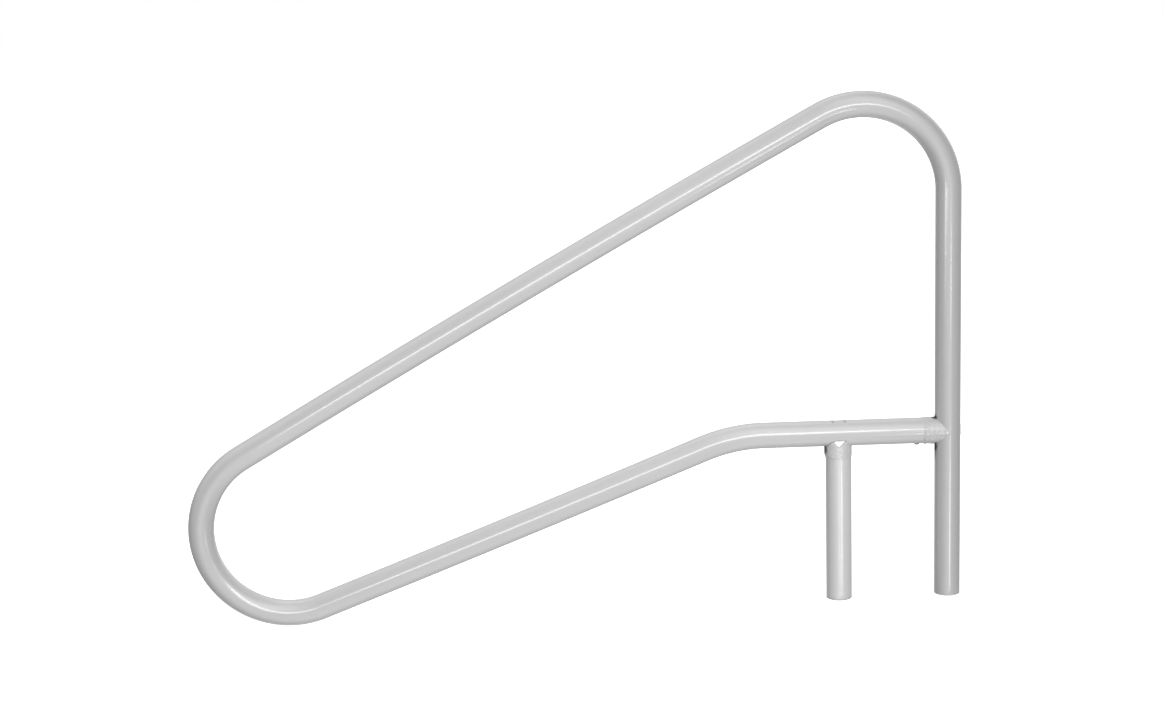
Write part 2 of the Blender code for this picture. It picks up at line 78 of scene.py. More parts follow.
# ------------------------------------------------------------------ driving sizes
# places taken from the CAD pieces
LEG_X = middle("support_leg", 0)
BAR_Z = middle("crossbar_insert", 2)        # the crossbar's axis
LEG_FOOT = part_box("leg_end_plug")[0][2]
SCREW_X = middle("insert_screw", 0)
BAR_COLLAR_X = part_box("crossbar_collar")[0][0]
LEG_COLLAR_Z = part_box("leg_collar")[0][2]

# tubes
TUBE_R = 24.13 * MM
BORE_R = TUBE_R - 1.65 * MM
TUBE_START = 3.12 * MM                      # a tube's lower end, above its end plug's underside
FOOT_EASE = 0.45 * MM                       # rounding of a tube's lower edge
FIT = 0.15 * MM                             # how far a fish mouth stands off the tube it meets

# centreline of the rail
BEND_R = 159.5 * MM                         # top bend and nose bend
TOP_Z = 760.0 * MM                          # centre of the top bend
NOSE_X, NOSE_Z = -1228.0 * MM, 165.0 * MM   # centre of the nose bend
KNEE_X = -341.0 * MM                        # where the knee runs into the crossbar
KNEE_R = 311.0 * MM
GRIP_R = 40.0                               # slight crown of the upper slope
BACK_R = 54.0                               # slight crown of the lower slope
STRAIGHT_END = -50.0 * MM                   # past here the crossbar's rings lean into its mouth

# V notch in the front of the leg's upper edge
NOTCH_X = -205.7 * MM
NOTCH_Z = 290.3 * MM
NOTCH_FLANK = 1.0                           # half width over height


# ------------------------------------------------------------------ mesh helpers
class Shape:
    """Points and faces that are gathered ring by ring."""

    def __init__(self):
        self.points, self.faces, self.rings, self.count = [], [], [], 0

    def ring(self, points):
        points = np.asarray(points, float)
        self.points.append(points)
        ids = np.arange(self.count, self.count + len(points))
        self.count += len(points)
        return ids

    def add(self, points):
        """A ring that follows the last one added."""
        self.rings.append(self.ring(points))

    def join(self, rings):
        """Quads between each ring and the next, which has the same length."""
        for a, b in zip(rings, rings[1:]):
            self.faces.extend(np.stack([a, np.roll(a, -1), np.roll(b, -1), b], 1).tolist())

    def fan(self, ring, z):
        """Triangles from a ring to a point on the Z axis."""
        tip = int(self.ring([(0, 0, z)])[0])
        self.faces.extend([[int(a), int(b), tip] for a, b in zip(ring, np.roll(ring, -1))])

    def looped_mesh(self, name):
        """The added rings joined, the last one back to the first."""
        self.join(self.rings + self.rings[:1])
        return self.mesh(name)

    def capped_mesh(self, name, first_z, last_z):
        """The added rings joined, and closed on the axis at both ends."""
        self.join(self.rings)
        self.fan(self.rings[0], first_z)
        self.fan(self.rings[-1], last_z)
        return self.mesh(name)

    def mesh(self, name):
        mesh = bpy.data.meshes.new(name)
        mesh.from_pydata(np.concatenate(self.points).tolist(), [], self.faces)
        bm = bmesh.new()
        bm.from_mesh(mesh)
        loose = [v for v in bm.verts if not v.link_faces]
        if loose:
            bmesh.ops.delete(bm, geom=loose, context="VERTS")
        bmesh.ops.recalc_face_normals(bm, faces=bm.faces)
        if bm.calc_volume(signed=True) < 0:
            bmesh.ops.reverse_faces(bm, faces=bm.faces)
        bm.to_mesh(mesh)
        bm.free()
        return mesh


class Lathe(Shape):
    """A shape of rings round an upright axis; radius and height may vary with the angle."""

    def __init__(self, around, axis_x=0.0):
        super().__init__()
        self.around, self.axis_x = around, axis_x
        self.angle = np.arange(around) * TAU / around
        self.cos, self.sin = np.cos(self.angle), np.sin(self.angle)

    def level(self, radius, z):
        self.add(np.stack([self.axis_x + radius * self.cos, radius * self.sin,
                           np.broadcast_to(z, self.around)], 1))


def round_over(steps):
    """A unit quarter round from a flat face over to a side: (inset from the side, drop) pairs."""
    turns = [math.radians(90 * k / steps) for k in range(steps + 1)]
    return [(1 - math.sin(turn), 1 - math.cos(turn)) for turn in turns]


def smooth(t):
    """0 to 1 with level ends."""
    t = np.clip(t, 0, 1)
    return t * t * (3 - 2 * t)


def spread(length, step, dense=()):
    """Distances from 0 to length, with (start, end, cells) stretches divided as asked."""
    marks = [0.0]
    for start, end, cells in sorted(dense) + [(length, length, 0)]:
        gap = start - marks[-1]
        if gap > 1e-7:
            count = max(1, math.ceil(gap / step))
            marks += [marks[-1] + gap * k / count for k in range(1, count + 1)]
        marks += [start + (end - start) * k / cells for k in range(1, cells + 1)]
    return marks


def add_object(name, data):
    obj = bpy.data.objects.new(name, data)
    scene.collection.objects.link(obj)
    return obj


def piece(name, mesh, material, node, sharp=38.0, place=None):
    """A finished piece that stands for one CAD node; edges over sharp degrees stay crisp."""
    obj = add_object(name, mesh)
    mesh.materials.append(material)
    mesh.shade_smooth()
    mesh.set_sharp_from_angle(angle=math.radians(sharp))
    if place is not None:
        mesh.transform(place)
    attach(obj, "root")
    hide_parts(node)


# ------------------------------------------------------------------ the rail's centreline
def in_plane(x, z):
    return np.array((x, z), float)


def towards(centre, place):
    """Heading from centre to place."""
    return math.atan2(place[1] - centre[1], place[0] - centre[0])


def meet(first, first_r, second, second_r, pick):
    """The lower (min) or higher (max) point first_r from first and second_r from second."""
    span = np.hypot(*(second - first))
    along = (first_r ** 2 - second_r ** 2 + span ** 2) / (2 * span)
    aside = math.sqrt(first_r ** 2 - along ** 2)
    ahead = (second - first) / span
    side = in_plane(-ahead[1], ahead[0])
    base = first + ahead * along
    return pick((base + side * aside, base - side * aside), key=lambda point: point[1])


class Arc:
    """A run along a circle, by distance; it turns anticlockwise when end is the larger angle."""

    def __init__(self, centre, radius, start, end):
        self.centre, self.radius, self.start = centre, radius, start
        self.sign = 1.0 if end > start else -1.0
        self.length = abs(end - start) * radius

    def at(self, distance):
        """The point there and the heading ahead."""
        turn = self.start + self.sign * distance / self.radius
        cos, sin = math.cos(turn), math.sin(turn)
        return self.centre + self.radius * in_plane(cos, sin), self.sign * in_plane(-sin, cos)


class Line:
    """A straight run, by distance."""

    def __init__(self, start, end):
        self.start = start
        self.length = float(np.hypot(*(end - start)))
        self.ahead = (end - start) / self.length

    def at(self, distance):
        return self.start + distance * self.ahead, self.ahead


def rail_runs():
    """Up the post, over the top, down to the nose and back along the crossbar, all tangent."""
    top = in_plane(-BEND_R, TOP_Z)
    nose = in_plane(NOSE_X, NOSE_Z)
    knee = in_plane(KNEE_X, BAR_Z - KNEE_R)
    grip = meet(top, GRIP_R - BEND_R, nose, GRIP_R - BEND_R, min)
    back = meet(nose, BACK_R - BEND_R, knee, BACK_R + KNEE_R, max)
    top_end = towards(grip, top)
    nose_start = towards(grip, nose)
    nose_end = towards(back, nose)
    return [
        Line(in_plane(0, TUBE_START), in_plane(0, TOP_Z)),
        Arc(top, BEND_R, 0.0, top_end),
        Arc(grip, GRIP_R, top_end, nose_start),
        Arc(nose, BEND_R, nose_start % TAU, nose_end % TAU),
        Arc(back, BACK_R, nose_end, towards(back, knee)),
        Arc(knee, KNEE_R, towards(knee, back), math.pi / 2),
        Line(in_plane(KNEE_X, BAR_Z), in_plane(STRAIGHT_END, BAR_Z)),
    ]


RUNS = rail_runs()
RUN_STEPS = (10, 4, 10, 4, 10, 6, 10)       # longest cell of each run, mm
POST_RUN, BAR_RUN = 0, 6

# ------------------------------------------------------------------ the rail tube, drilled
AROUND = 128
OUTSIDE, INSIDE = 0, 1                      # sides of the loop the rail makes

# A round hole drilled square to the tube: its run and the distance along it, its side, radius
# and eased rim, and the patch of grid it is cut from, in columns, length and cells.
Hole = namedtuple("Hole", "run at side radius rim half_cols half_length cells")
ACCESS = dict(radius=10.5 * MM, rim=0.45 * MM, half_cols=15, half_length=16 * MM, cells=26)
BOLT = dict(radius=4.75 * MM, rim=0.2 * MM, half_cols=8, half_length=9 * MM, cells=14)
SCREW = dict(radius=2.3 * MM, rim=0.15 * MM, half_cols=4, half_length=4.8 * MM, cells=8)
HOLES = [
    Hole(run=POST_RUN, at=BAR_Z - TUBE_START, side=OUTSIDE, **ACCESS),
    Hole(run=POST_RUN, at=BAR_Z - TUBE_START, side=INSIDE, **BOLT),
    Hole(run=BAR_RUN, at=LEG_X - KNEE_X, side=INSIDE, **ACCESS),
    Hole(run=BAR_RUN, at=LEG_X - KNEE_X, side=OUTSIDE, **BOLT),
    Hole(run=BAR_RUN, at=SCREW_X - KNEE_X, side=OUTSIDE, **SCREW),
]


def rail_stations():
    """Points and headings down the rail, and each run's (distance, station number) marks."""
    stations, marks = [], []
    for k, run in enumerate(RUNS):
        # two holes on opposite sides of one station share the wider stretch's divisions
        widest = {}
        for hole in sorted(HOLES, key=lambda hole: hole.half_length):
            if hole.run == k:
                widest[round(hole.at, 5)] = hole
        dense = [(h.at - h.half_length, h.at + h.half_length, h.cells) for h in widest.values()]
        distances = spread(run.length, RUN_STEPS[k] * MM, dense)
        own = []
        if k:
            # a run starts on the last station of the one before
            own.append((0.0, len(stations) - 1))
            distances = distances[1:]
        for distance in distances:
            own.append((distance, len(stations)))
            stations.append(run.at(distance))
        marks.append(own)
    return stations, marks


def patch_of(hole, marks):
    """Offsets from the hole's centre of the rings in its patch, and its first and last column."""
    offsets = {ring: distance - hole.at for distance, ring in marks[hole.run]
               if abs(distance - hole.at) <= hole.half_length + 1e-6}
    centre_col = hole.side * AROUND // 2
    return offsets, centre_col - hole.half_cols, centre_col + hole.half_cols


def drill(shape, hole, patch, outer, inner):
    """Fill a patch left open in both skins with a round hole."""
    offsets, col0, col1 = patch
    row0, row1 = min(offsets), max(offsets)
    centre, ahead = RUNS[hole.run].at(hole.at)
    out = in_plane(ahead[1], -ahead[0]) * (1 if hole.side == OUTSIDE else -1)
    centre = np.array((centre[0], 0.0, centre[1]))
    ahead = np.array((ahead[0], 0.0, ahead[1]))
    out = np.array((out[0], 0.0, out[1]))
    depth = np.array((0.0, 1.0, 0.0))
    border = [(i, col0) for i in range(row0, row1)] + [(row1, j) for j in range(col0, col1)]
    border += [(i, col1) for i in range(row1, row0, -1)]
    border += [(row0, j) for j in range(col1, col0, -1)]

    def square_at(radius):
        """The patch's border, seen flat along the hole."""
        return np.array([(offsets[i], radius * math.sin(j * TAU / AROUND)) for i, j in border])

    def ring_on(flat, radius, drop=0.0):
        """Flat points raised on to a skin of the tube."""
        height = np.sqrt(radius ** 2 - flat[:, 1] ** 2) - drop
        return shape.ring(centre + flat[:, :1] * ahead + flat[:, 1:2] * depth
                          + height[:, None] * out)

    def border_of(rings):
        return np.array([rings[i][j % AROUND] for i, j in border])

    square = square_at(TUBE_R)
    polar = np.arctan2(square[:, 1], square[:, 0])
    ray = np.stack([np.cos(polar), np.sin(polar)], 1)
    rings = [border_of(outer)]
    circle = ray * (hole.radius + hole.rim)
    for k in range(1, 9):
        t = (k / 8) ** 0.8
        rings.append(ring_on(square * (1 - t) + circle * t, TUBE_R))
    for inset, drop in round_over(4)[1:]:
        rings.append(ring_on(ray * (hole.radius + hole.rim * inset), TUBE_R, hole.rim * drop))
    square, circle = square_at(BORE_R), ray * hole.radius
    for k in range(5):
        t = k / 5
        rings.append(ring_on(circle * (1 - t) + square * t, BORE_R))
    rings.append(border_of(inner))
    shape.join(rings)


def rail_mesh():
    shape = Shape()
    angle = np.arange(AROUND) * TAU / AROUND
    cos, sin = np.cos(angle)[:, None], np.sin(angle)[:, None]
    depth = np.array((0.0, 1.0, 0.0))
    stations, marks = rail_stations()

    def ring_at(centre, ahead, radius):
        """A square ring; column 0 is on the outside of the loop."""
        out = np.array((ahead[1], 0.0, -ahead[0]))
        centre = np.array((centre[0], 0.0, centre[1]))
        return shape.ring(centre + radius * (cos * out + sin * depth))

    foot, up = stations[0]
    edge = [ring_at(foot + up * FOOT_EASE * drop, up, TUBE_R - FOOT_EASE * inset)
            for inset, drop in round_over(4)[:-1]]
    lifted = [(foot + up * FOOT_EASE, up)] + stations[1:]
    outer = [ring_at(centre, ahead, TUBE_R) for centre, ahead in lifted]
    inner = [ring_at(centre, ahead, BORE_R) for centre, ahead in stations]

    # the crossbar's end leans from a square ring to the fish mouth
    lean = 16
    for rings, radius in ((outer, TUBE_R), (inner, BORE_R)):
        y = radius * np.sin(angle)
        mouth = -np.sqrt((TUBE_R + FIT) ** 2 - y ** 2)
        for k in range(1, lean + 1):
            x = STRAIGHT_END + (mouth - STRAIGHT_END) * (k / lean)
            rings.append(shape.ring(np.stack([x, y, BAR_Z - radius * np.cos(angle)], 1)))

    patches = [patch_of(hole, marks) for hole in HOLES]
    cut = {(i, j % AROUND) for offsets, col0, col1 in patches
           for i in range(min(offsets), max(offsets)) for j in range(col0, col1)}
    for rings, turn in ((outer, 1), (inner, -1)):
        for i, (a, b) in enumerate(zip(rings, rings[1:])):
            keep = np.array([(i, j) not in cut for j in range(AROUND)])
            quads = np.stack([a, np.roll(a, -1), np.roll(b, -1), b], 1)[keep]
            shape.faces.extend(quads[:, ::turn].tolist())
    for hole, patch in zip(HOLES, patches):
        drill(shape, hole, patch, outer, inner)

    shape.join(edge + [outer[0]])
    shape.join([inner[0], edge[0]])
    shape.join([outer[-1], inner[-1]])
    return shape.mesh("rail_tube_surface")


# ------------------------------------------------------------------ the leg
def soft_min(a, b, width):
    """The smaller of two heights, eased where they cross."""
    share = np.clip(0.5 + 0.5 * (b - a) / width, 0.0, 1.0)
    return b * (1 - share) + a * share - width * share * (1 - share)


def cope(y, tip):
    """How far short of the crossing axis a fish mouth stands, at depth y.

    tip holds the mouth's points back, at the tube's front and back."""
    room = (TUBE_R + FIT) ** 2 - y ** 2
    return np.sqrt(np.maximum(room, 0.0) + tip ** 2 * np.clip(np.abs(y) / TUBE_R, 0, 1) ** 12)


def leg_top(x, y, tip):
    """Height of the leg's upper edge: a fish mouth, with the V notch in its front."""
    notch_ease, blend_width = 0.5 * MM, 0.8 * MM
    top = BAR_Z - cope(y, tip)
    across = np.sqrt((x - NOTCH_X) ** 2 + notch_ease ** 2) - notch_ease
    front = soft_min(top, NOTCH_Z + across / NOTCH_FLANK, blend_width)
    return np.where(y < 0, front, top)


def leg_mesh():
    shape = Lathe(256, axis_x=LEG_X)
    low = LEG_FOOT + TUBE_START
    start = 262 * MM                        # above here the rings lean into the fish mouth
    step, lean = 9 * MM, 24

    def top(radius):
        return leg_top(LEG_X + radius * shape.cos, radius * shape.sin, tip=0.4 * MM)

    for inset, drop in round_over(4):
        shape.level(TUBE_R - FOOT_EASE * inset, low + FOOT_EASE * drop)
    for z in spread(start - low - FOOT_EASE, step)[1:]:
        shape.level(TUBE_R, low + FOOT_EASE + z)
    for k in range(1, lean + 1):
        shape.level(TUBE_R, start + (top(TUBE_R) - start) * k / lean)
    for k in range(lean, -1, -1):
        shape.level(BORE_R, start + (top(BORE_R) - start) * k / lean)
    for z in reversed(spread(start - low, step)[:-1]):
        shape.level(BORE_R, low + z)
    return shape.looped_mesh("support_leg_surface")


# ------------------------------------------------------------------ the joint collars
def lumps(points, size, seed):
    """Smooth unevenness between about -1 and 1, the same every time."""
    return np.array([
        noise.noise(Vector((x / size + seed, y / size - 2 * seed, z / size + 3 * seed)))
        for x, y, z in points
    ])


def sleeve_mesh(name, far, end_of, proud_of, feather, lump, seed, to_world):
    """A thin hand-dressed sleeve, from its feathered edge at far to its coped end.

    Places on it are (distance along the tube, radius, angle). end_of(radius, angle) gives the
    coped end's distance, proud_of(distance, angle) the skin's height above the tube, feather
    the length over which the lumps grow to their full height."""
    around, rows = 256, 30
    edge = 0.5 * MM                         # eased edge round the fish mouth
    inner_r = TUBE_R + 0.05 * MM
    thinnest = 0.06 * MM
    shape = Shape()
    angle = np.arange(around) * TAU / around

    def ring(distance, radius):
        shape.add(to_world(distance, radius, angle))

    ring(np.full(around, far), inner_r)
    skin_end = end_of(TUBE_R + 1.0 * MM, angle) - edge
    for k in range(rows + 1):
        distance = far + (skin_end - far) * (k / rows) ** 1.25
        base = to_world(distance, TUBE_R, angle)
        uneven = lumps(base, 7 * MM, seed) + 0.6 * lumps(base, 2.6 * MM, seed + 5)
        proud = proud_of(distance, angle)
        proud = proud + lump * uneven * np.clip((distance - far) / feather, 0, 1)
        radius = np.maximum(TUBE_R + proud, inner_r + thinnest)
        ring(distance, radius)
    for inset, drop in round_over(4)[1:]:
        ring(distance + edge * (1 - inset), radius - (radius - inner_r) * 0.75 * drop)
    inner_end = np.minimum(end_of(inner_r, angle), distance + edge)
    for k in range(9):
        ring(inner_end + (far - inner_end) * k / 9, inner_r)
    return shape.looped_mesh(name)


def leg_collar_mesh():
    def to_world(z, radius, angle):
        return np.stack([LEG_X + radius * np.cos(angle), radius * np.sin(angle), z], 1)

    def end_of(radius, angle):
        return leg_top(LEG_X + radius * np.cos(angle), radius * np.sin(angle), tip=6 * MM)

    def proud_of(z, angle):
        outward = 0.5 - 0.5 * np.cos(angle)             # 1 on the side away from the post
        full = 0.75 * MM + 1.55 * MM * outward ** 1.6
        return 0.14 * MM + smooth((z - LEG_COLLAR_Z) / (11 * MM)) * full

    return sleeve_mesh("leg_collar_surface", LEG_COLLAR_Z, end_of, proud_of,
                       feather=8 * MM, lump=0.16 * MM, seed=3.0, to_world=to_world)


def bar_collar_mesh():
    def to_world(x, radius, angle):
        return np.stack([x, radius * np.sin(angle), BAR_Z - radius * np.cos(angle)], 1)

    def end_of(radius, angle):
        return -cope(radius * np.sin(angle), tip=7.0 * MM)

    def proud_of(x, angle):
        along = x - BAR_COLLAR_X
        under = 0.5 + 0.5 * np.cos(angle)               # 1 on the underside
        # two runs of the coating hang under it
        runs = np.exp(-((along - 4.5 * MM) / (3.0 * MM)) ** 2)
        runs = runs + 1.15 * np.exp(-((along - 18 * MM) / (4.6 * MM)) ** 2)
        full = 0.62 * MM + 0.2 * MM * under + 0.85 * MM * runs * under ** 3
        return 0.10 * MM + smooth(along / (4.5 * MM)) * full

    return sleeve_mesh("crossbar_collar_surface", BAR_COLLAR_X, end_of, proud_of,
                       feather=4 * MM, lump=0.13 * MM, seed=7.0, to_world=to_world)


# ------------------------------------------------------------------ joint space
# The origin is on the axis of the tube that is drilled through; -Z runs down the tube that
# butts against it, +Z out through the access hole.
AT_POST = Matrix.Translation((0, 0, BAR_Z)) @ Matrix.Rotation(math.pi / 2, 4, "Y")
AT_LEG = Matrix.Translation((LEG_X, 0, BAR_Z))

BOLT_SEAT = -16 * MM                        # underside of the bolt's head
HEX_FLAT = 6.5 * MM                         # half the width across the flats
HEX_CLEARANCE = 0.02 * MM
THREAD_PITCH = 1.25 * MM
CHAMFER = math.tan(math.radians(30))        # slope of the cone that cuts a hexagon's corners


def hexagon(angle, flat):
    """Radius of a hexagon at an angle."""
    return flat / np.cos((angle % (TAU / 6)) - TAU / 12)


def insert_mesh(name, key=False):
    """Moulded insert: coped top, bolt bore, relief grooves and the nut's pocket.

    The leg's one carries a raised key that fills the V notch and stops it turning."""
    outer_r, bore_r = 22.1 * MM, 4.5 * MM
    reach, pocket = 84.5 * MM, 76 * MM      # lower end and pocket floor, below the origin
    edge, foot_ease = 0.6 * MM, 1.5 * MM
    key_height, key_clearance, key_ease = 1.6 * MM, 0.3 * MM, 0.5 * MM
    key_top = -10.6 * MM
    skirt = -30 * MM                        # the side's rings are level from here down
    side_rows = 24 if key else 5
    shape = Lathe(192)
    cos, sin, level = shape.cos, shape.sin, shape.level

    def skin(z):
        if not key:
            return np.full(shape.around, outer_r)
        half = NOTCH_FLANK * (z - (NOTCH_Z - BAR_Z)) - key_clearance
        across = np.abs(outer_r * cos - (NOTCH_X - LEG_X))
        return outer_r + key_height * smooth((half - across) / key_ease) * (sin < 0)

    rim = skin(-11.5 * MM)

    def top(radius):
        coped = -np.sqrt((TUBE_R + 0.25 * MM) ** 2 - (radius * sin) ** 2)
        return np.where(rim > outer_r + 0.1 * MM, np.minimum(coped, key_top), coped)

    # coped face, from the bore to the rim
    for k in range(9):
        radius = bore_r + (rim - edge - bore_r) * k / 8
        level(radius, top(radius))
    for inset, drop in round_over(4)[1:]:
        level(rim - edge * inset, top(rim - edge) - edge * drop)
    side = top(rim - edge) - edge
    for k in range(1, side_rows + 1):
        z = side + (skirt - side) * k / side_rows
        level(skin(z), z)
    # three relief grooves: (height from the groove's middle, depth), mm
    groove = ((1.6, 0), (1.3, 0.35), (0.8, 0.75), (0, 0.8), (-0.8, 0.75), (-1.3, 0.35), (-1.6, 0))
    for z in (-42 * MM, -55 * MM, -68 * MM):
        for height, depth in groove:
            level(outer_r - depth * MM, z + height * MM)
    for inset, drop in round_over(3):
        level(outer_r - foot_ease * drop, -reach + foot_ease * inset)
    # the hexagonal pocket: its wall follows the nut's flats
    flat = 6.8 * MM
    wall = np.minimum(hexagon(shape.angle, flat), flat / math.cos(math.pi / 6) - 0.15 * MM)
    level(wall + edge, -reach)
    level(wall, -reach + edge)
    level(wall, -pocket)
    for k in range(6):
        level(bore_r, -pocket + (top(bore_r) + pocket) * k / 6)
    return shape.looped_mesh(name)


# ------------------------------------------------------------------ fasteners
def thread_radius(angle, z, core, crest):
    """Radius of a rounded V thread at an angle and a height."""
    phase = (z / THREAD_PITCH - angle / TAU) % 1.0
    return core + (crest - core) * smooth(np.abs(phase * 2 - 1) * 1.35 - 0.175)


def bolt_mesh(name):
    """Hex bolt: chamfered head with a washer face, plain shank, rolled thread."""
    length, shank_r, fillet = 70 * MM, 4 * MM, 0.35 * MM
    head_top = BOLT_SEAT + 5.3 * MM
    cone_r = 6.15 * MM                      # the chamfer starts here
    dish = 0.25 * MM
    core, crest = 3.35 * MM, 3.98 * MM
    tip, tip_r, tip_length = BOLT_SEAT - length, 3.0 * MM, 1.0 * MM
    thread_top, thread_end = BOLT_SEAT - 46 * MM, tip + tip_length
    thread_rows = 130
    shape = Lathe(120)
    level = shape.level
    corner = hexagon(shape.angle, HEX_FLAT) - HEX_CLEARANCE

    # a dished top, then the chamfer cone cutting the hexagon's corners
    level(0.6 * MM, head_top - dish)
    level(3.4 * MM, head_top - dish)
    level(3.9 * MM, head_top - 0.22 * MM)
    level(4.3 * MM, head_top)
    level(cone_r, head_top)
    for t in (0.2, 0.4, 0.6, 0.8, 1.0):
        radius = cone_r + (np.minimum(corner, 7.3 * MM) - cone_r) * t
        level(radius, head_top - (radius - cone_r) * CHAMFER)
    level(corner, head_top - (corner - cone_r) * CHAMFER - 0.05 * MM)
    # flats, washer face and the fillet under the head
    level(corner, BOLT_SEAT + 0.55 * MM)
    level(6.35 * MM, BOLT_SEAT + 0.3 * MM)
    level(6.1 * MM, BOLT_SEAT + 0.28 * MM)
    level(6.0 * MM, BOLT_SEAT)
    for inset, drop in round_over(3):
        level(shank_r + fillet * inset, BOLT_SEAT - fillet * drop)
    shank_top = BOLT_SEAT - fillet
    for k in range(1, 5):
        level(shank_r, shank_top + (thread_top - shank_top) * k / 4)
    # rolled thread, fading in over its first turn and out at the point
    for k in range(1, thread_rows + 1):
        z = thread_top + (thread_end - thread_top) * k / thread_rows
        grow = min(1.0, (thread_top - z) / THREAD_PITCH)
        radius = thread_radius(shape.angle, z, core, crest)
        level(radius * grow + shank_r * (1 - grow), z)
    last = thread_radius(shape.angle, thread_end, core, crest)
    for t in (0.35, 0.7, 1.0):
        level(last * (1 - t) + tip_r * t, thread_end - tip_length * t)
    return shape.capped_mesh(name, head_top - dish, tip)


def nut_mesh(name):
    """Hex nut, chamfered both sides, threaded."""
    high, low = -76.3 * MM, -82.8 * MM
    cone_r = 6.1 * MM                       # the chamfers start here
    thread_rows, thread_inset = 42, 0.4 * MM
    shape = Lathe(120)
    level = shape.level
    corner = hexagon(shape.angle, HEX_FLAT) - HEX_CLEARANCE

    def chamfer(t):
        """Radius and fall of the chamfer, a share of the way out to the corners."""
        radius = cone_r + (np.minimum(corner, 7.2 * MM) - cone_r) * t
        return radius, (radius - cone_r) * CHAMFER

    level(5.0 * MM, high)
    level(cone_r, high)
    for t in (0.33, 0.67, 1.0):
        radius, fall = chamfer(t)
        level(radius, high - fall)
    corner_fall = (corner - cone_r) * CHAMFER
    level(corner, high - corner_fall - 0.05 * MM)
    level(corner, low + corner_fall + 0.05 * MM)
    for t in (1.0, 0.67, 0.33):
        radius, fall = chamfer(t)
        level(radius, low + fall)
    level(cone_r, low)
    level(4.9 * MM, low)
    for k in range(thread_rows + 1):
        z = low + thread_inset + (high - low - 2 * thread_inset) * k / thread_rows
        level(thread_radius(shape.angle, z, core=4.75 * MM, crest=4.15 * MM), z)
    return shape.looped_mesh(name)


def saddle_washer_mesh(name):
    """Flat on top, curved underneath to sit in the tube's bore."""
    bore_r, rim_r, high, ease = 4.4 * MM, 8.5 * MM, -18.6 * MM, 0.3 * MM
    saddle_r = BORE_R - 0.25 * MM
    shape = Lathe(96)
    level = shape.level

    def under(radius):
        return -np.sqrt(saddle_r ** 2 - (radius * shape.sin) ** 2)

    level(bore_r + ease, high)
    for inset, drop in round_over(3):
        level(rim_r - ease * inset, high - ease * drop)
    for inset, drop in round_over(3):
        radius = rim_r - ease * drop
        level(radius, under(radius) + ease * inset)
    for k in range(1, 6):
        radius = rim_r - ease + (bore_r + ease - rim_r + ease) * k / 5
        level(radius, under(radius))
    level(bore_r, under(bore_r) + ease)
    level(bore_r, high - ease)
    return shape.looped_mesh(name)


def lock_washer_mesh(name):
    """A split spring washer: one turn of square wire, slightly raised at one end."""
    bore_r, rim_r, mid, half = 4.3 * MM, 7.4 * MM, -17.3 * MM, 0.92 * MM
    ease, rise = 0.18 * MM, 0.06 * MM
    steps = 72
    gap, skew = math.radians(9), math.radians(10)
    # (radius, height) round the wire
    outline = [
        (bore_r + ease, mid + half), (rim_r - ease, mid + half),
        (rim_r, mid + half - ease), (rim_r, mid - half + ease),
        (rim_r - ease, mid - half), (bore_r + ease, mid - half),
        (bore_r, mid - half + ease), (bore_r, mid + half - ease),
    ]
    shape = Shape()
    for k in range(steps + 1):
        t = k / steps
        heading = math.pi / 2 + gap / 2 + (TAU - gap) * t
        section = []
        for radius, z in outline:
            angle = heading + skew * (z - mid) / (2 * half)
            section.append((radius * math.cos(angle), radius * math.sin(angle),
                            z + rise * (2 * t - 1)))
        shape.add(section)
    shape.join(shape.rings)
    for ring in (shape.rings[0], shape.rings[-1]):
        shape.faces.append([int(i) for i in ring])
    return shape.mesh(name)


def screw_mesh(name):
    """Pan-head self-tapping screw with a cross recess; its head is below z = 0."""
    head_r, height, length = 4.6 * MM, 3.0 * MM, 14 * MM
    recess, side_height = 1.7 * MM, 0.85 * MM
    pitch, thread_rows, thread_inset = 1.5 * MM, 110, 0.4 * MM
    core, thread_height, taper_length = 1.42 * MM, 0.55 * MM, 3 * MM
    shape = Lathe(144)
    level = shape.level

    def plus(depth):
        """Outline of the recess, which narrows as it deepens."""
        arm, slim = 2.15 * MM * (1 - 0.35 * depth), 0.55 * MM * (1 - 0.25 * depth)
        cos = np.maximum(np.abs(shape.cos), 1e-6)
        sin = np.maximum(np.abs(shape.sin), 1e-6)
        return np.maximum(np.minimum(arm / cos, slim / sin), np.minimum(arm / sin, slim / cos))

    def dome(radius):
        """The pan head's face: nearly flat in the middle, rolling over at the rim."""
        return -height + (height - side_height) * (1 - np.sqrt(1 - (radius / head_r) ** 3.2))

    floor_z = -height + recess
    level(plus(1.0) * 0.3, floor_z)
    level(plus(1.0), floor_z)
    for depth in (0.66, 0.33, 0.06):
        radius = plus(depth)
        level(radius, dome(radius) + recess * depth)
    lip = plus(0.0) + 0.05 * MM
    for t in (0, 0.35, 0.7, 1.0):
        radius = lip * (1 - t) + 2.45 * MM * t
        level(radius, dome(radius))
    for radius in (2.9, 3.3, 3.7, 4.0, 4.25, 4.42, 4.52, 4.58, 4.6):
        level(radius * MM, dome(radius * MM))
    level(head_r, -0.25 * MM)
    level(head_r - 0.2 * MM, -0.04 * MM)
    level(2.0 * MM, 0.0)
    for k in range(1, thread_rows + 1):
        z = thread_inset + (length - 2 * thread_inset) * k / thread_rows
        taper = min(1.0, (length - z) / taper_length) ** 0.7
        phase = (z / pitch - shape.angle / TAU) % 1.0
        crest = np.clip(1 - np.abs(phase - 0.5) * 4.2, 0, 1)
        level((core + thread_height * crest) * taper, z)
    return shape.capped_mesh(name, floor_z, length)


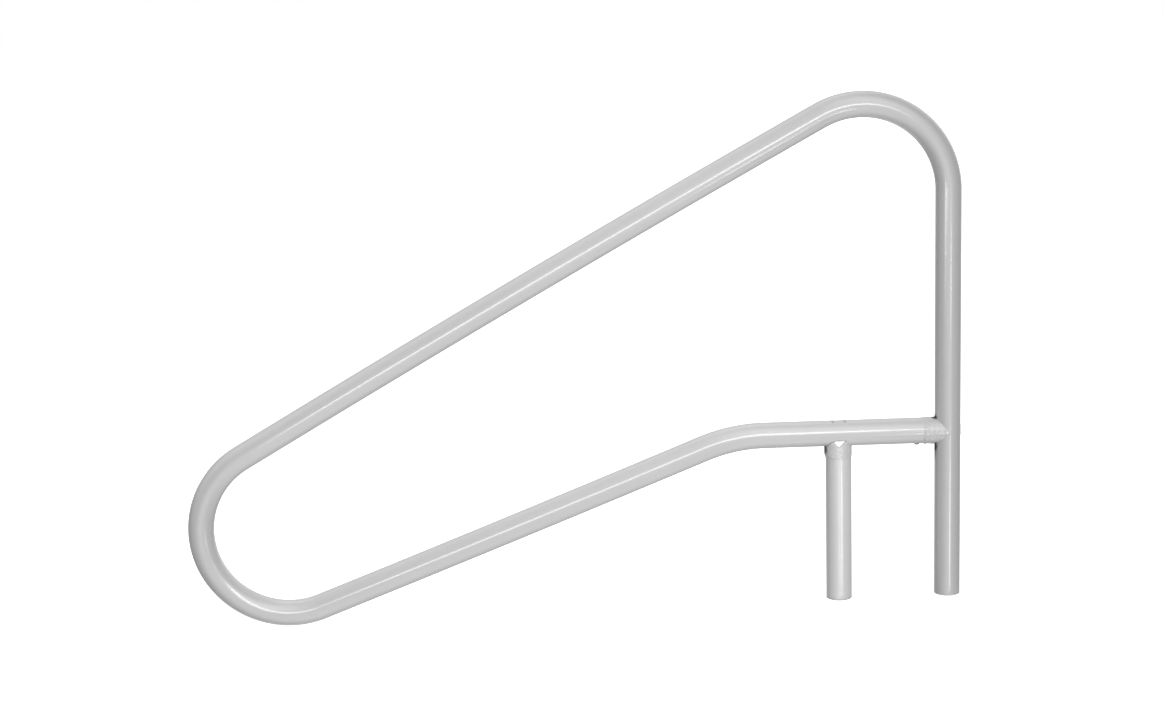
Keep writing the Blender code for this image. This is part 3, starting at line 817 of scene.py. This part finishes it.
# ------------------------------------------------------------------ plugs
# underside of the access plug, from the rim by the snap lip to the hollow's ceiling:
# (radius, height), mm
ACCESS_SKIRT = (
    (10.28, 19.4), (10.34, 19.0), (10.75, 18.5), (10.85, 18.2), (10.8, 17.8), (10.3, 16.9),
    (9.8, 16.15), (9.5, 16.0), (8.6, 16.0), (8.35, 16.2), (8.3, 16.6), (8.3, 20.9),
    (7.6, 21.2), (3.0, 21.2),
)


def access_plug_mesh(name):
    """Push-in cap: a rounded crown that follows the tube, a skirt with a snap lip."""
    plug_r, edge, sunk = 10.28 * MM, 0.7 * MM, 0.02 * MM
    dish_r, dish_depth = 4.6 * MM, 0.22 * MM
    shape = Lathe(144)

    def crown(radius, drop=0.0):
        return np.sqrt((TUBE_R - sunk) ** 2 - (radius * shape.sin) ** 2) - drop

    for k in range(1, 7):
        radius = dish_r * k / 6
        fall = dish_depth * (0.5 + 0.5 * math.cos(math.pi * (k / 6) ** 2))
        shape.level(radius, crown(radius, fall))
    for k in range(1, 8):
        radius = dish_r + (plug_r - edge - dish_r) * k / 7
        shape.level(radius, crown(radius))
    for inset, drop in round_over(5)[1:]:
        radius = plug_r - edge * inset
        shape.level(radius, crown(radius, edge * drop))
    for radius, z in ACCESS_SKIRT:
        shape.level(radius * MM, z * MM)
    return shape.capped_mesh(name, TUBE_R - sunk - dish_depth, ACCESS_SKIRT[-1][1] * MM)


def rounded(corners, steps):
    """A (radius, height) outline from (radius, height, ease) corners, each eased by its ease."""
    out = []
    for i, (x, z, ease) in enumerate(corners):
        if ease <= 0:
            out.append((x, z))
            continue
        corner = in_plane(x, z)
        before = in_plane(*corners[i - 1][:2]) - corner
        after = in_plane(*corners[i + 1][:2]) - corner
        before_length, after_length = np.hypot(*before), np.hypot(*after)
        before, after = before / before_length, after / after_length
        half = math.acos(before @ after) / 2
        back = min(ease / math.tan(half), 0.48 * before_length, 0.48 * after_length)
        radius = back * math.tan(half)
        inward = (before + after) / np.hypot(*(before + after))
        centre = corner + inward * (radius / math.sin(half))
        first = towards(centre, corner + before * back)
        turn = (towards(centre, corner + after * back) - first + math.pi) % TAU - math.pi
        for k in range(steps + 1):
            angle = first + turn * k / steps
            out.append((centre[0] + radius * math.cos(angle),
                        centre[1] + radius * math.sin(angle)))
    return out


def end_plug_mesh(name):
    """Push-in foot: a flange with a rolled edge, a shallow dish underneath, a ribbed spigot."""
    flange, spigot, depth, dish = 3.0 * MM, 22.1 * MM, 28 * MM, 0.7 * MM
    hollow = spigot - 2.5 * MM
    rib, groove = spigot - 0.1 * MM, spigot - 0.8 * MM
    corners = [
        (0.0, flange, 0),
        (hollow, flange, 1.2 * MM),
        (hollow, depth, 0.4 * MM),
        (spigot - 1.2 * MM, depth, 0.4 * MM),
        (rib, depth - 3 * MM, 0.5 * MM),
        (rib, depth - 7 * MM, 0.3 * MM),
        (groove, depth - 7.6 * MM, 0.2 * MM),
        (groove, depth - 13 * MM, 0.2 * MM),
        (rib, depth - 13.6 * MM, 0.3 * MM),
        (rib, flange, 0.15 * MM),
        (TUBE_R, flange, 0.35 * MM),
        (TUBE_R, 0.0, 2.4 * MM),
        (TUBE_R - 7.0 * MM, 0.0, 0.6 * MM),
        (TUBE_R - 7.8 * MM, dish, 0.6 * MM),
        (0.0, dish, 0),
    ]
    shape = Lathe(160)
    for radius, z in rounded(corners, steps=6)[1:-1]:
        shape.level(radius, z)
    shape.fan(shape.rings[0], flange)
    shape.join(shape.rings)
    shape.fan(shape.rings[-1], dish)
    return shape.mesh(name)


# ------------------------------------------------------------------ materials
def feed(tree, socket, item):
    """Set a socket to a number or a colour, or link another socket to it."""
    if isinstance(item, (int, float)):
        socket.default_value = item
    elif isinstance(item, tuple):
        socket.default_value = (*item, 1.0)
    else:
        tree.links.new(item, socket)


def math_node(tree, kind, first, second=0.0):
    node = tree.nodes.new("ShaderNodeMath")
    node.operation = kind
    feed(tree, node.inputs[0], first)
    feed(tree, node.inputs[1], second)
    return node.outputs[0]


class Graph:
    """Small helper round a material's node tree."""

    def __init__(self, name):
        self.material = bpy.data.materials.new(name)
        self.material.use_nodes = True
        self.tree = self.material.node_tree
        self.shader = self.tree.nodes["Principled BSDF"]
        self.place = self.tree.nodes.new("ShaderNodeTexCoord").outputs["Object"]

    def node(self, kind, **inputs):
        """A node with its inputs fed by name; an underscore stands for a space."""
        node = self.tree.nodes.new(kind)
        for key, item in inputs.items():
            feed(self.tree, node.inputs[key.replace("_", " ")], item)
        return node

    def stretch(self, scale):
        node = self.node("ShaderNodeMapping", Vector=self.place)
        node.inputs["Scale"].default_value = scale
        return node.outputs["Vector"]

    def noise(self, scale, detail=2.0, rough=0.5, vector=None):
        return self.node("ShaderNodeTexNoise", Scale=scale, Detail=detail, Roughness=rough,
                         Vector=vector or self.place).outputs["Fac"]

    def smooth_cells(self, scale):
        node = self.tree.nodes.new("ShaderNodeTexVoronoi")
        node.feature = "SMOOTH_F1"
        node.inputs["Scale"].default_value = scale
        self.tree.links.new(self.place, node.inputs["Vector"])
        return node.outputs["Distance"]

    def remap(self, source, span, to, smooth=False):
        """Carry the span of source over to another."""
        node = self.tree.nodes.new("ShaderNodeMapRange")
        node.interpolation_type = "SMOOTHSTEP" if smooth else "LINEAR"
        for key, number in zip(("From Min", "From Max", "To Min", "To Max"), (*span, *to)):
            node.inputs[key].default_value = number
        self.tree.links.new(source, node.inputs["Value"])
        return node.outputs["Result"]

    def vary(self, scale, to, detail=2.0, rough=0.5):
        """Noise that wanders between the two ends of to."""
        return self.remap(self.noise(scale, detail, rough), span=(0.3, 0.7), to=to)

    def times(self, first, second):
        return math_node(self.tree, "MULTIPLY", first, second)

    def add(self, first, second):
        return math_node(self.tree, "ADD", first, second)

    def shade(self, level, colour):
        """The colour, multiplied by a level of grey."""
        grey = self.tree.nodes.new("ShaderNodeCombineColor")
        for socket in grey.inputs:
            self.tree.links.new(level, socket)
        node = self.tree.nodes.new("ShaderNodeMix")
        node.data_type = "RGBA"
        node.blend_type = "MULTIPLY"
        # 0 is the factor, 6 and 7 the two colours
        for index, item in ((0, 1.0), (6, grey.outputs[0]), (7, colour)):
            feed(self.tree, node.inputs[index], item)
        return node.outputs[2]

    def painted_corner_shade(self, reach, span, dark):
        """Painted shade: near 1 in the open, down to dark in a tight corner, where shade falls."""
        node = self.node("ShaderNodeAmbientOcclusion", Distance=reach)
        node.samples = 12
        return self.remap(node.outputs["AO"], span=span, to=(dark, 1.0), smooth=True)

    def dark_patch(self, centre, size, dark):
        """1 away from a spot, down to dark inside it, with a ragged soft edge."""
        source = self.place
        for kind, numbers in (("SUBTRACT", centre), ("DIVIDE", size), ("LENGTH", None)):
            node = self.tree.nodes.new("ShaderNodeVectorMath")
            node.operation = kind
            self.tree.links.new(source, node.inputs[0])
            if numbers is not None:
                node.inputs[1].default_value = numbers
            source = node.outputs["Value" if kind == "LENGTH" else "Vector"]
        ragged = self.add(source, self.vary(260.0, to=(-0.16, 0.16), detail=3.0, rough=0.6))
        return self.remap(ragged, span=(0.35, 1.0), to=(dark, 1.0), smooth=True)

    def bump(self, height, distance, strength, below=None):
        node = self.node("ShaderNodeBump", Strength=strength, Distance=distance, Height=height)
        if below is not None:
            self.tree.links.new(below, node.inputs["Normal"])
        return node.outputs["Normal"]

    def set(self, **inputs):
        """Feed the shader's inputs by name; an underscore stands for a space."""
        for key, item in inputs.items():
            feed(self.tree, self.shader.inputs[key.replace("_", " ")], item)


def coat_material(name, grey, collar=False, dark_patches=(), painted_falloff=1.0):
    """Smooth stoved polymer coat: orange peel, slow shade drift, painted shade in the corners."""
    graph = Graph(name)
    drift = graph.vary(5.0, to=(0.985, 1.015), detail=3.0, rough=0.55)
    streak = graph.vary(60.0, to=(0.988, 1.012), detail=3.0, rough=0.6)
    # painted shade: colour, specular and coat are darkened in tight corners, where shade falls
    painted_shade = graph.painted_corner_shade(reach=7 * MM, span=(0.20, 0.62), dark=0.60)
    # dark patches: painted shade by the joints, and darker marks by the access plug's rim
    for dark_patch in dark_patches:
        painted_shade = graph.times(painted_shade, graph.dark_patch(*dark_patch))
    level = graph.times(graph.times(drift, streak), painted_shade)
    if painted_falloff < 1.0:
        # painted shade: light falls off up the post and over the top bend, so the rail's colour is
        # darkened there
        split = graph.node("ShaderNodeSeparateXYZ", Vector=graph.place)
        along = graph.add(split.outputs["X"], graph.times(split.outputs["Z"], 0.35))
        level = graph.times(level, graph.remap(along, span=(-0.2, 0.2), to=(1.0, painted_falloff)))
    if collar:
        # dressed by hand: stippled, with paler rubbed spots
        stipple = graph.smooth_cells(420.0)
        spots = graph.remap(graph.noise(340.0, detail=2.0, rough=0.6),
                            span=(0.50, 0.74), to=(0.0, 1.0), smooth=True)
        blotch = graph.vary(170.0, to=(0.94, 1.06), detail=3.0, rough=0.6)
        level = graph.times(graph.times(level, blotch),
                            graph.remap(spots, span=(0.0, 1.0), to=(1.0, 1.26)))
        normal = graph.bump(stipple, distance=0.14 * MM, strength=0.6)
        normal = graph.bump(graph.noise(190.0, detail=3.0, rough=0.6),
                            distance=0.35 * MM, strength=0.6, below=normal)
        rough = graph.vary(240.0, to=(0.30, 0.48))
        coat, coat_rough = 0.75, 0.24
    else:
        peel = graph.noise(330.0, detail=2.0, rough=0.55)
        wave = graph.noise(45.0, detail=1.0)
        normal = graph.bump(wave, distance=0.01 * MM, strength=0.1)
        normal = graph.bump(peel, distance=0.004 * MM, strength=0.5, below=normal)
        rough = graph.vary(70.0, to=(0.36, 0.44), detail=3.0, rough=0.6)
        coat, coat_rough = 1.0, 0.19
    graph.set(Base_Color=graph.shade(level, (grey, grey, grey)), Roughness=rough, Normal=normal,
              Specular_IOR_Level=graph.times(painted_shade, 0.35),
              Coat_Weight=graph.times(painted_shade, coat), Coat_Roughness=coat_rough,
              Coat_IOR=1.75, Coat_Normal=normal)
    return graph.material


def nylon_material(name):
    """White moulding nylon, faintly mottled."""
    graph = Graph(name)
    mottle = graph.vary(160.0, to=(0.985, 1.0), detail=3.0, rough=0.6)
    graph.set(Base_Color=graph.shade(mottle, (0.97, 0.97, 0.965)),
              Normal=graph.bump(graph.noise(900.0), distance=0.01 * MM, strength=0.5),
              Roughness=graph.vary(90.0, to=(0.42, 0.55)))
    return graph.material


def plug_material(name):
    """Moulded grey plastic: a fine spark-eroded texture."""
    graph = Graph(name)
    drift = graph.vary(90.0, to=(0.97, 1.03), detail=3.0, rough=0.6)
    # painted shade: the plug's colour is darkened in its tight corners, where shade falls
    painted_shade = graph.painted_corner_shade(reach=3 * MM, span=(0.25, 0.8), dark=0.55)
    grain = graph.noise(1500.0, detail=2.0, rough=0.6)
    graph.set(Base_Color=graph.shade(graph.times(drift, painted_shade), (0.52, 0.52, 0.52)),
              Normal=graph.bump(grain, distance=0.012 * MM, strength=0.6),
              Roughness=graph.vary(260.0, to=(0.40, 0.55)), Specular_IOR_Level=0.45)
    return graph.material


def steel_material(name):
    """Stainless: fine marks drawn out across Z, faint stained patches."""
    graph = Graph(name)
    marks = graph.noise(1.0, detail=2.0, rough=0.6,
                        vector=graph.stretch((350.0, 350.0, 2600.0)))
    dark_patch = graph.remap(graph.noise(420.0, detail=4.0, rough=0.6),
                        span=(0.35, 0.75), to=(1.0, 0.86))
    graph.set(Base_Color=graph.shade(dark_patch, (0.64, 0.63, 0.61)), Metallic=1.0,
              Roughness=graph.remap(marks, span=(0.3, 0.7), to=(0.22, 0.38)),
              Normal=graph.bump(marks, distance=0.02 * MM, strength=0.5))
    return graph.material


# Dark patches, as (centre, size, darkest level): painted shade over and under the crossbar's end by
# the post, down the post's side below it and on the leg's shoulder away from the post; darker marks
# beside the access hole on the crossbar.
CORNER_SHADE = [
    ((-TUBE_R - 1 * MM, 0, BAR_Z + TUBE_R + 1 * MM), (8.5 * MM, 19 * MM, 7 * MM), 0.09),
    ((-TUBE_R - 0.5 * MM, 0, BAR_Z - TUBE_R - 4 * MM), (8 * MM, 20 * MM, 17 * MM), 0.09),
    ((-TUBE_R - 1 * MM, -2 * MM, BAR_Z - TUBE_R - 14 * MM), (4.5 * MM, 16 * MM, 28 * MM), 0.5),
]
SHOULDER_SHADE = [
    ((LEG_X - TUBE_R - 2 * MM, -3 * MM, BAR_Z - TUBE_R - 5 * MM), (8 * MM, 17 * MM, 13 * MM), 0.16),
]
RIMS = [
    ((LEG_X + side * 11 * MM, -7 * MM, BAR_Z + TUBE_R - 1.5 * MM), (4.2 * MM, 7 * MM, 2.6 * MM), 0.6)
    for side in (-1, 1)
]
# darkest level of the painted shade where light falls off up the post
RAIL_PAINTED_FALLOFF = 0.87

COAT = coat_material("rail_paint", grey=0.50, dark_patches=CORNER_SHADE + RIMS, painted_falloff=RAIL_PAINTED_FALLOFF)
LEG_COAT = coat_material("leg_paint", grey=0.59)
BAR_COLLAR = coat_material("crossbar_collar_paint", grey=0.48, collar=True, dark_patches=CORNER_SHADE,
                           painted_falloff=RAIL_PAINTED_FALLOFF)
LEG_COLLAR = coat_material("leg_collar_paint", grey=0.54, collar=True, dark_patches=SHOULDER_SHADE)
NYLON = nylon_material("white_nylon_moulding")
PLUG = plug_material("grey_plug_plastic")
STEEL = steel_material("stainless_fastener_steel")

# ------------------------------------------------------------------ pieces
piece("rail_tube_coated", rail_mesh(), COAT, "rail_tube")
piece("support_leg_coated", leg_mesh(), LEG_COAT, "support_leg")
piece("leg_collar_dressed", leg_collar_mesh(), LEG_COLLAR, "leg_collar",
      sharp=50)
piece("crossbar_collar_dressed", bar_collar_mesh(), BAR_COLLAR, "crossbar_collar",
      sharp=50)
piece("crossbar_insert_moulded", insert_mesh("insert_a"), NYLON, "crossbar_insert",
      place=AT_POST)
piece("leg_insert_moulded", insert_mesh("insert_b", key=True), NYLON, "leg_insert",
      place=AT_LEG)

# each joint has one of these: (CAD part, name ending, mesh name, builder)
JOINT_FASTENERS = (
    ("bolt", "threaded", "bolt", bolt_mesh),
    ("saddle_washer", "fine", "saddle", saddle_washer_mesh),
    ("lock_washer", "split", "lock", lock_washer_mesh),
    ("nut", "threaded", "nut", nut_mesh),
)
for part, ending, mesh_name, build in JOINT_FASTENERS:
    for joint, letter, place in (("crossbar", "a", AT_POST), ("leg", "b", AT_LEG)):
        piece(f"{joint}_{part}_{ending}", build(f"{mesh_name}_{letter}"), STEEL,
              f"{joint}_{part}", place=place)

piece("insert_screw_cross_head", screw_mesh("screw"), STEEL, "insert_screw",
      place=Matrix.Translation((SCREW_X, 0, BAR_Z - TUBE_R - 0.05 * MM)))
piece("post_access_plug_moulded", access_plug_mesh("access_a"), PLUG, "post_access_plug",
      place=AT_POST @ Matrix.Translation((0, 0, 0.4 * MM)))
piece("crossbar_access_plug_moulded", access_plug_mesh("access_b"), PLUG,
      "crossbar_access_plug",
      place=AT_LEG @ Matrix.Translation((0, 0, -0.35 * MM)))
piece("post_end_plug_moulded", end_plug_mesh("end_a"), PLUG, "post_end_plug")
piece("leg_end_plug_moulded", end_plug_mesh("end_b"), PLUG, "leg_end_plug",
      place=Matrix.Translation((LEG_X, 0, LEG_FOOT)))


# ------------------------------------------------------------------ floor
def build_floor():
    """A wide pale disc just under the part."""
    gap = 0.6 * MM
    mesh = bpy.data.meshes.new("floor")
    bm = bmesh.new()
    bmesh.ops.create_circle(bm, cap_ends=True, segments=96, radius=30.0,
                            matrix=Matrix.Translation((-0.7, 0, CAD_LOW[2] - gap)))
    bm.to_mesh(mesh)
    bm.free()
    floor = add_object("floor", mesh)
    graph = Graph("pale_floor")
    tone = graph.vary(3.0, to=(0.99, 1.0), detail=3.0)
    graph.set(Base_Color=graph.shade(tone, (0.9, 0.9, 0.9)), Roughness=0.9,
              Specular_IOR_Level=0.1, Emission_Color=(1, 1, 1), Emission_Strength=0.9)
    mesh.materials.append(graph.material)
    # the world's lower half gives the light from below instead
    floor.visible_diffuse = False
    floor.visible_glossy = False
    floor.visible_shadow = False


# ------------------------------------------------------------------ world
# soft light from all round: heading (0 in front, 90 to the right) and height in degrees, strength
GLOW = [
    (0, 60, 1.35), (180, 60, 1.2), (240, 60, 1.0),
    (18, 30, 1.9), (126, 30, 0.9), (270, 30, 0.95),
    (150, 0, 1.2), (200, 5, 1.0), (-5, -22, 1.0),
    (0, -60, 1.4), (90, -60, 1.1), (200, -45, 0.9),
]
GLOW_TIGHTNESS = 10.0                       # larger makes each glow smaller


def build_world():
    """The glows light the part; the camera itself sees plain white added in their place."""
    world = bpy.data.worlds.new("studio")
    scene.world = world
    world.use_nodes = True
    tree = world.node_tree
    background = tree.nodes["Background"]
    background.inputs["Color"].default_value = (1, 1, 1, 1)
    sky = tree.nodes.new("ShaderNodeTexCoord").outputs["Generated"]
    total = 0.0
    for heading, height, strength in GLOW:
        turn, rise = math.radians(heading), math.radians(height)
        dot = tree.nodes.new("ShaderNodeVectorMath")
        dot.operation = "DOT_PRODUCT"
        tree.links.new(sky, dot.inputs[0])
        dot.inputs[1].default_value = (math.sin(turn) * math.cos(rise),
                                       -math.cos(turn) * math.cos(rise), math.sin(rise))
        falloff = math_node(tree, "SUBTRACT", dot.outputs["Value"], 1.0)
        falloff = math_node(tree, "MULTIPLY", falloff, GLOW_TIGHTNESS)
        lobe = math_node(tree, "EXPONENT", falloff)
        total = math_node(tree, "ADD", total, math_node(tree, "MULTIPLY", lobe, strength))
    seen = tree.nodes.new("ShaderNodeLightPath").outputs["Is Camera Ray"]
    unseen = math_node(tree, "SUBTRACT", 1.0, seen)
    hidden = math_node(tree, "MULTIPLY", total, unseen)
    tree.links.new(math_node(tree, "ADD", hidden, seen), background.inputs["Strength"])


# ------------------------------------------------------------------ softboxes
SOFTBOX_Y = -2.022
# long softboxes: name, start (x, z), end (x, z), width, radiance, the only pieces lit (all if none)
SOFTBOXES = [
    ("softbox_slopes", (-1.72, 0.38), (-0.30, 0.905), 0.34, 6.0, ()),
    ("softbox_bar", (-0.30, 0.905), (0.35, 1.15), 0.36, 7.6, ()),
    ("softbox_post_low", (0.48, -0.62), (0.48, -0.20), 0.22, 10.5, ()),
    ("softbox_post_high", (0.48, 0.19), (0.48, 0.42), 0.22, 10.5, ()),
    ("softbox_leg", (-0.27, -0.62), (-0.27, -0.22), 0.21, 4.3,
     ("support_leg_coated", "leg_collar_dressed", "leg_end_plug_moulded")),
]


def add_softbox(name, start, end, width, radiance, only):
    """A rectangle in front of the part, square to it, running from start to end."""
    length = math.hypot(end[0] - start[0], end[1] - start[1])
    data = bpy.data.lights.new(name, "AREA")
    data.shape = "RECTANGLE"
    data.size = length
    data.size_y = width
    data.energy = radiance * math.pi * length * width
    obj = add_object(name, data)
    across = Vector((end[0] - start[0], 0, end[1] - start[1])).normalized()
    back = Vector((0, -1, 0))
    turn = Matrix((across, back.cross(across), back)).transposed()
    centre = ((start[0] + end[0]) / 2, SOFTBOX_Y, (start[1] + end[1]) / 2)
    obj.matrix_world = Matrix.Translation(centre) @ turn.to_4x4()
    obj.visible_camera = False
    if only:
        lit = bpy.data.collections.new(name + "_lights")
        for item in only:
            lit.objects.link(bpy.data.objects[item])
        obj.light_linking.receiver_collection = lit


# ------------------------------------------------------------------ camera
def build_camera():
    data = bpy.data.cameras.new("camera")
    data.sensor_fit = "HORIZONTAL"
    data.sensor_width = 36.0
    data.lens = 67.456
    data.clip_start = 0.05
    data.clip_end = 100.0
    camera = add_object("camera", data)
    place = (-0.78323, -3.92935, 1.20364)
    right = Vector((0.99911834, -0.03261193, -0.02643863))
    up = Vector((0.0320091, 0.18424756, 0.98235852))
    ahead = Vector((0.02716536, 0.98233869, -0.185129))
    turn = Matrix((right, up, -ahead)).transposed()
    camera.matrix_world = Matrix.Translation(place) @ turn.to_4x4()
    scene.camera = camera


build_floor()
build_world()
for softbox in SOFTBOXES:
    add_softbox(*softbox)
build_camera()

scene.view_settings.view_transform = "Standard"
scene.view_settings.look = "None"
scene.view_settings.exposure = 0.0
scene.view_settings.gamma = 1.0

bpy.context.view_layer.update()
